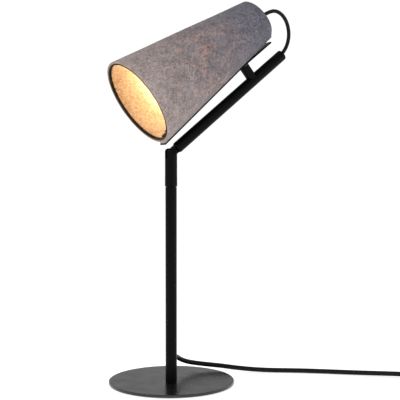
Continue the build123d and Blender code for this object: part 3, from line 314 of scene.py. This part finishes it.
# ---------------------------------------------------------------- felt shade
def outline_of_felt(radius):
    """The felt's outer line across the shade: a circle, with the outer layer lapped over at the seam.

    Pairs of (across, over), from the lap's far edge round the far side and back to that edge.
    """
    depth = -(radius + LAP)
    reach = math.hypot(LAP_NEAR_EDGE, depth)
    touch = math.atan2(depth, LAP_NEAR_EDGE) - math.acos(radius / reach)
    start = math.asin(LAP_FAR_EDGE / radius) - math.pi / 2
    turn = (touch - start) % (2 * math.pi)
    points = [turned_point(radius, start + turn * step / FELT_STEPS) for step in range(FELT_STEPS + 1)]
    touch_at = points[-1]
    for step in range(1, LAP_STEPS):
        share = step / LAP_STEPS
        points.append((
            touch_at[0] + (LAP_NEAR_EDGE - touch_at[0]) * share,
            touch_at[1] + (depth - touch_at[1]) * share,
        ))
    flat = LAP_FAR_EDGE - LAP_ROUND - LAP_NEAR_EDGE
    for step in range(LAP_STEPS):
        points.append((LAP_NEAR_EDGE + flat * step / (LAP_STEPS - 1), depth))
    # The lap's own edge: rounded, and tucked in a little under itself where it meets the inner layer.
    under = LAP_FAR_EDGE - LAP_TUCK
    points.append((LAP_FAR_EDGE - LAP_ROUND_MIDDLE, depth + LAP_ROUND_MIDDLE))
    points.append((LAP_FAR_EDGE, depth + LAP_ROUND))
    points.append((LAP_FAR_EDGE - 0.05, depth + LAP * LAP_TUCK))
    points.append((under, -math.sqrt(radius**2 - under**2) + 0.25))
    return points


def inner_line_of_felt(radius, count):
    """The same number of points on the felt's inner face."""
    start = -math.pi / 2 + SEAM_INSIDE
    return [turned_point(radius, start + 2 * math.pi * step / count) for step in range(count)]


def shade_radius(station):
    """The felt's outer radius this far from the mouth."""
    return MOUTH_RADIUS - (MOUTH_RADIUS - TOP_RADIUS) * station / SHADE_LENGTH


def make_felt():
    """The felt cone: an outer face with its lapped seam, an inner face, and rounded cut edges."""
    rng = random.Random(5)
    waves = [(rng.randint(2, 7), rng.uniform(0, 6.3), rng.uniform(0.01, 0.05), rng.uniform(0, 6.3))
             for _ in range(WAVE_COUNT)]
    near_edge = [0.0, 0.25, EDGE_ROUND]
    edge_insets = [EDGE_ROUND, EDGE_ROUND * 0.3, 0.0]
    stations = near_edge + [SHADE_LENGTH * (row / FELT_ROWS) for row in range(1, FELT_ROWS)]
    stations += [SHADE_LENGTH - station for station in reversed(near_edge)]
    insets = edge_insets + [0.0] * (FELT_ROWS - 1) + edge_insets[::-1]
    vertices = []

    def uneven(angle, station):
        """Slight waviness of hand-rolled felt, in millimetres."""
        calm = math.sin(math.pi * min(1, max(0, station / SHADE_LENGTH)))
        return WAVE_HEIGHT * (0.4 + 0.6 * calm) * sum(
            math.sin(lobes * angle + phase + station * rate + drift) for lobes, phase, rate, drift in waves
        ) / len(waves) ** 0.5

    def add_row(pairs, station):
        for across, over in pairs:
            angle = math.atan2(over, across)
            from_seam = abs((angle + math.pi / 2 + math.pi) % (2 * math.pi) - math.pi)
            away = min(1.0, max(0.0, (from_seam - CALM_AT_SEAM[0]) / CALM_AT_SEAM[1]))
            push = uneven(angle, station) * away
            size = math.hypot(across, over)
            # The small end is cut on a slant, longest at the seam.
            extra = -END_SLANT * over / TOP_RADIUS * (station / SHADE_LENGTH) ** SLANT_POWER
            narrowed = extra * (MOUTH_RADIUS - TOP_RADIUS) / SHADE_LENGTH
            grow = (size + push - narrowed) / size
            vertices.append(tuple(in_shade(station + extra, across * grow, over * grow)))

    for station, inset in zip(stations, insets):
        radius = shade_radius(station)
        shrink = (radius - inset) / radius
        add_row([(across * shrink, over * shrink) for across, over in outline_of_felt(radius)], station)
    outer_total = len(vertices)
    count = outer_total // len(stations)
    for station, inset in zip(reversed(stations), reversed(insets)):
        radius = shade_radius(station) - FELT
        add_row(inner_line_of_felt(radius + inset * 0.6, count), station)
    # Each inner row starts beside the outer row's first point, so the ends close without a twist.
    faces = []
    rings = len(stations) * 2
    for ring in range(rings):
        low = ring * count
        high = ((ring + 1) % rings) * count
        for step in range(count):
            following = (step + 1) % count
            faces.append((low + step, high + step, high + following, low + following))
    data = bpy.data.meshes.new("felt_cone")
    data.from_pydata(vertices, [], faces)
    data.validate()
    data.polygons.foreach_set("use_smooth", [True] * len(data.polygons))
    shares = {"painted_glow": [], "farness": [], "lining": []}
    for number, station in enumerate(stations + stations[::-1]):
        outside = number < len(stations)
        # Painted glow: where the bulb's light shows through the outer face, strongest at GLOW_MIDDLE, none
        # on the inner face.
        middle = math.exp(-((station - GLOW_MIDDLE) / GLOW_SPREAD) ** 2)
        shares["painted_glow"] += [middle if outside else 0.0] * count
        shares["farness"] += [station / SHADE_LENGTH] * count
        shares["lining"] += [0.0 if outside else 1.0] * count
    for name, values in shares.items():
        data.attributes.new(name, "FLOAT", "POINT").data.foreach_set("value", values)
    bpy.context.view_layer.update()
    felt = new_object("felt_cone", data)
    data.set_sharp_from_angle(angle=math.radians(50))
    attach(felt, "shade")
    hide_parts("shade_felt")
    return felt


felt = make_felt()


# ---------------------------------------------------------------- materials
class Graph:
    """A material's nodes, added and joined in short calls."""

    def __init__(self, name):
        self.material = bpy.data.materials.new(name)
        self.material.use_nodes = True
        self.tree = self.material.node_tree
        self.shader = self.tree.nodes["Principled BSDF"]
        coordinates = self.tree.nodes.new("ShaderNodeTexCoord")
        self.place = coordinates.outputs["Object"]

    def join(self, output, target):
        self.tree.links.new(output, target)

    def noise(self, scale, detail=3.0, roughness=0.55, stretch=None, turn=(0, 0, 0)):
        node = self.tree.nodes.new("ShaderNodeTexNoise")
        node.inputs["Scale"].default_value = scale
        node.inputs["Detail"].default_value = detail
        node.inputs["Roughness"].default_value = roughness
        source = self.place
        if stretch:
            mapping = self.tree.nodes.new("ShaderNodeMapping")
            mapping.inputs["Scale"].default_value = stretch
            mapping.inputs["Rotation"].default_value = turn
            self.join(self.place, mapping.inputs["Vector"])
            source = mapping.outputs["Vector"]
        self.join(source, node.inputs["Vector"])
        return node.outputs["Fac"]

    def attribute(self, name):
        node = self.tree.nodes.new("ShaderNodeAttribute")
        node.attribute_name = name
        return node.outputs["Fac"]

    def ramp(self, value, *stops):
        node = self.tree.nodes.new("ShaderNodeValToRGB")
        elements = node.color_ramp.elements
        while len(elements) < len(stops):
            elements.new(0.5)
        for element, (position, colour) in zip(elements, stops):
            element.position = position
            element.color = (*colour, 1) if hasattr(colour, "__len__") else (colour, colour, colour, 1)
        self.join(value, node.inputs["Fac"])
        return node.outputs["Color"]

    def mix(self, share, first, second, blend="MIX"):
        node = self.tree.nodes.new("ShaderNodeMix")
        node.data_type = "RGBA"
        node.blend_type = blend
        for socket, value in (("Factor_Float", share), ("A_Color", first), ("B_Color", second)):
            target = next(entry for entry in node.inputs if entry.identifier == socket)
            if isinstance(value, bpy.types.NodeSocket):
                self.join(value, target)
            else:
                target.default_value = (*value, 1) if hasattr(value, "__len__") else value
        return next(entry for entry in node.outputs if entry.identifier == "Result_Color")

    def bump(self, height, depth, strength=1.0, before=None):
        node = self.tree.nodes.new("ShaderNodeBump")
        node.inputs["Strength"].default_value = strength
        node.inputs["Distance"].default_value = depth
        self.join(height, node.inputs["Height"])
        if before:
            self.join(before, node.inputs["Normal"])
        self.join(node.outputs["Normal"], self.shader.inputs["Normal"])
        return node.outputs["Normal"]

    def colour_by(self, value, *stops):
        self.join(self.ramp(value, *stops), self.shader.inputs["Base Color"])

    def roughness_by(self, value, *stops):
        self.join(self.ramp(value, *stops), self.shader.inputs["Roughness"])

    def set(self, **values):
        for name, value in values.items():
            self.shader.inputs[name.replace("_", " ")].default_value = value


def shade_of(colour, share):
    return [value * share for value in colour]


def powder_coat(name, colour, roughness, gloss):
    """Satin powder coat: fine orange peel, and a little uneven in its gloss."""
    graph = Graph(name)
    graph.set(Specular_IOR_Level=gloss)
    graph.colour_by(graph.noise(900, 4), (0.3, shade_of(colour, 0.85)), (0.7, shade_of(colour, 1.2)))
    graph.roughness_by(graph.noise(45, 5), (0.3, roughness - 0.05), (0.7, roughness + 0.06))
    graph.bump(graph.noise(1400, 2), 0.00008, 0.35)
    return graph.material


def plastic(name, colour, roughness, grain=2600, gloss=0.3):
    """Moulded plastic with a fine spark-eroded grain."""
    graph = Graph(name)
    graph.set(Specular_IOR_Level=gloss)
    graph.colour_by(graph.noise(400, 4), (0.35, shade_of(colour, 0.85)), (0.7, shade_of(colour, 1.15)))
    graph.roughness_by(graph.noise(120, 3), (0.3, roughness - 0.06), (0.7, roughness + 0.06))
    graph.bump(graph.noise(grain, 2), 0.00006, 0.4)
    return graph.material


def metal(name, colour, roughness):
    """Plated or turned metal with faint tool marks."""
    graph = Graph(name)
    graph.set(Metallic=1.0)
    graph.colour_by(graph.noise(300, 4), (0.3, shade_of(colour, 0.85)), (0.7, colour))
    marks = graph.noise(150, 4, stretch=(1, 1, 12))
    graph.roughness_by(marks, (0.3, roughness - 0.08), (0.7, roughness + 0.08))
    graph.bump(graph.noise(900, 3, stretch=(1, 1, 8)), 0.00004, 0.3)
    return graph.material


def felt_material():
    """Heathered grey wool felt: light and dark fibres pressed together, with a fuzzy face."""
    graph = Graph("wool_felt")
    fibres_a = graph.noise(1.0, 2, stretch=(520, 2600, 1500), turn=(0.3, 0.6, 0.2))
    fibres_b = graph.noise(1.0, 2, stretch=(2400, 600, 1700), turn=(0.9, 0.1, 1.1))
    fibres_c = graph.noise(1.0, 2, stretch=(1500, 1900, 500), turn=(0.2, 1.2, 0.7))
    mottle = graph.noise(300, 5, 0.85)
    cloud = graph.noise(60, 5, 0.7)
    farness = graph.attribute("farness")
    # Warmer grey towards the mouth, cooler and darker towards the small end; the darkening along the shade
    # is in part painted shade.
    light_wool = graph.ramp(
        farness,
        (0.0, (0.44, 0.365, 0.345)),
        (0.45, (0.27, 0.232, 0.245)),
        (1.0, (0.135, 0.140, 0.178)),
    )
    dark_wool = graph.ramp(
        farness,
        (0.0, (0.17, 0.132, 0.122)),
        (0.45, (0.070, 0.055, 0.060)),
        (1.0, (0.036, 0.036, 0.050)),
    )
    ground = graph.mix(graph.ramp(mottle, (0.42, 0.0), (0.58, 1.0)), dark_wool, light_wool)
    patches = graph.mix(graph.ramp(cloud, (0.40, 0.0), (0.60, 1.0)), dark_wool, light_wool)
    clouded = graph.mix(0.35, ground, patches)
    light = graph.ramp(fibres_a, (0.56, 0.0), (0.68, 1.0))
    dark = graph.ramp(fibres_b, (0.56, 0.0), (0.68, 1.0))
    pale = graph.ramp(fibres_c, (0.60, 0.0), (0.70, 1.0))
    with_light = graph.mix(light, clouded, light_wool)
    with_dark = graph.mix(dark, with_light, (0.045, 0.040, 0.048))
    colour = graph.mix(pale, with_dark, (0.36, 0.33, 0.33))
    # Painted light inside: the bulb's light on the inner face is drawn into its colour, darker and orange
    # towards the mouth, bright cream deeper in.
    painted_bulb_light = graph.ramp(
        farness,
        (0.03, (0.34, 0.22, 0.085)),
        (0.15, (0.50, 0.36, 0.17)),
        (0.33, (1.0, 0.96, 0.92)),
    )
    painted_lining_light = graph.mix(1.0, painted_bulb_light, graph.ramp(mottle, (0.40, 0.55), (0.60, 1.0)), "MULTIPLY")
    inner = graph.mix(0.3, painted_lining_light, colour)
    graph.join(graph.mix(graph.attribute("lining"), colour, inner), graph.shader.inputs["Base Color"])
    graph.set(Roughness=0.95, Sheen_Weight=0.12, Sheen_Roughness=0.5, Specular_IOR_Level=0.15)
    # Light from the bulb that comes through the thinner places of the felt.
    thin = graph.ramp(graph.noise(55, 4, 0.7), (0.47, 0.0), (0.64, 1.0))
    glow = graph.mix(graph.attribute("painted_glow"), (0.0, 0.0, 0.0), (1.0, 0.44, 0.20))
    spots = graph.mix(1.0, thin, graph.ramp(mottle, (0.35, 0.1), (0.62, 1.0)), "MULTIPLY")
    speckled = graph.mix(1.0, glow, spots, "MULTIPLY")
    graph.join(speckled, graph.shader.inputs["Emission Color"])
    graph.set(Emission_Strength=0.21)
    first = graph.bump(graph.noise(1100, 4, 0.65), 0.0005, 0.6)
    graph.bump(fibres_a, 0.0004, 0.5, before=first)
    return graph.material


def lit_bulb():
    """Opal bulb, lit, its glow a little uneven."""
    graph = Graph("lit_bulb")
    graph.set(Base_Color=(0.95, 0.9, 0.8, 1), Roughness=0.35, Emission_Strength=BULB_STRENGTH)
    graph.join(graph.ramp(graph.noise(20, 1), (0.3, (1.0, 0.69, 0.45)), (0.7, (1.0, 0.73, 0.49))),
               graph.shader.inputs["Emission Color"])
    return graph.material


finishes = {
    "black_powder": powder_coat("black_powder_coat", (0.0025, 0.0022, 0.0022), 0.32, 0.06),
    "base_grey": powder_coat("base_powder_coat", (0.006, 0.0055, 0.0055), 0.26, 0.5),
    "foam": plastic("foam_pad", (0.03, 0.03, 0.03), 0.9, 900),
    "felt": felt_material(),
    "steel": metal("zinc_steel", (0.55, 0.55, 0.56), 0.35),
    "black_plastic": plastic("black_plastic", (0.003, 0.003, 0.003), 0.5, gloss=0.06),
    "cord_black": plastic("cord_sheath", (0.004, 0.004, 0.004), 0.5, 1800, gloss=0.14),
    "core_insulation": plastic("core_insulation", (0.25, 0.12, 0.06), 0.5),
    "brass": metal("brass", (0.72, 0.52, 0.26), 0.3),
    "nylon": plastic("nylon", (0.72, 0.70, 0.65), 0.45),
    "bulb_glass": lit_bulb(),
    "pins": metal("nickel_pins", (0.72, 0.71, 0.69), 0.2),
}


def finish_in(piece, finish):
    piece.data.materials.clear()
    piece.data.materials.append(finishes[finish])


for name, node in nodes.items():
    finish_in(node, slot_of[name])
# The flange that shows between the post and the collar is drawn in black powder coat, though its CAD slot is
# steel, so the joint shows as a dark line.
finish_in(nodes["swivel_spigot"], "black_powder")
finish_in(felt, "felt")
finish_in(mains, "cord_black")
finish_in(loop, "cord_black")
finish_in(knuckle_cores, slot_of["knuckle_wires"])


# ---------------------------------------------------------------- floor and light
def make_floor():
    """A pale sweep just under the lamp's pad."""
    data = bpy.data.meshes.new("floor")
    corners = ((-1, -1), (1, -1), (1, 1), (-1, 1))
    data.from_pydata([(x * FLOOR_SIZE, y * FLOOR_SIZE, FLOOR_DEPTH) for x, y in corners], [], [(0, 1, 2, 3)])
    floor = new_object("floor", data)
    graph = Graph("pale_floor")
    graph.colour_by(graph.noise(3, 2), (0.3, 0.92), (0.7, 0.94))
    graph.set(Roughness=0.9, Specular_IOR_Level=0.1)
    graph.set(Emission_Color=(1, 1, 1, 1), Emission_Strength=FLOOR_GLOW)
    data.materials.append(graph.material)


def area_light(name, place, size, power):
    """A soft white light aimed at the lamp's middle; metres and watts."""
    data = bpy.data.lights.new(name, "AREA")
    data.shape = "RECTANGLE"
    data.size, data.size_y = size
    data.energy = power
    lamp = new_object(name, data)
    lamp.location = place
    lamp.rotation_mode = "QUATERNION"
    lamp.rotation_quaternion = (Vector(LIGHT_AIM) - Vector(place)).to_track_quat("-Z", "Y")


def make_light():
    """A white studio: bright to the camera, softer as a light, darker in reflections."""
    scene = bpy.context.scene
    scene.view_settings.view_transform = "Standard"
    world = bpy.data.worlds.new("studio")
    world.use_nodes = True
    tree = world.node_tree
    background = tree.nodes["Background"]
    path = tree.nodes.new("ShaderNodeLightPath")
    white = tree.nodes.new("ShaderNodeMix")
    white.data_type = "FLOAT"
    white.inputs["A"].default_value = STUDIO_LIGHT
    white.inputs["B"].default_value = STUDIO_SEEN
    tree.links.new(path.outputs["Is Camera Ray"], white.inputs["Factor"])
    tree.links.new(white.outputs["Result"], background.inputs["Strength"])
    background.inputs["Color"].default_value = (1, 1, 1, 1)
    scene.world = world
    area_light("key", (-1.7, -0.7, 1.5), (1.0, 1.0), 22)
    area_light("side", (0.5, -1.8, 0.7), (0.3, 1.4), 3)
    area_light("edge", (1.6, -1.0, 0.7), (0.25, 1.4), 5)


make_floor()
make_light()

bpy.context.view_layer.update()
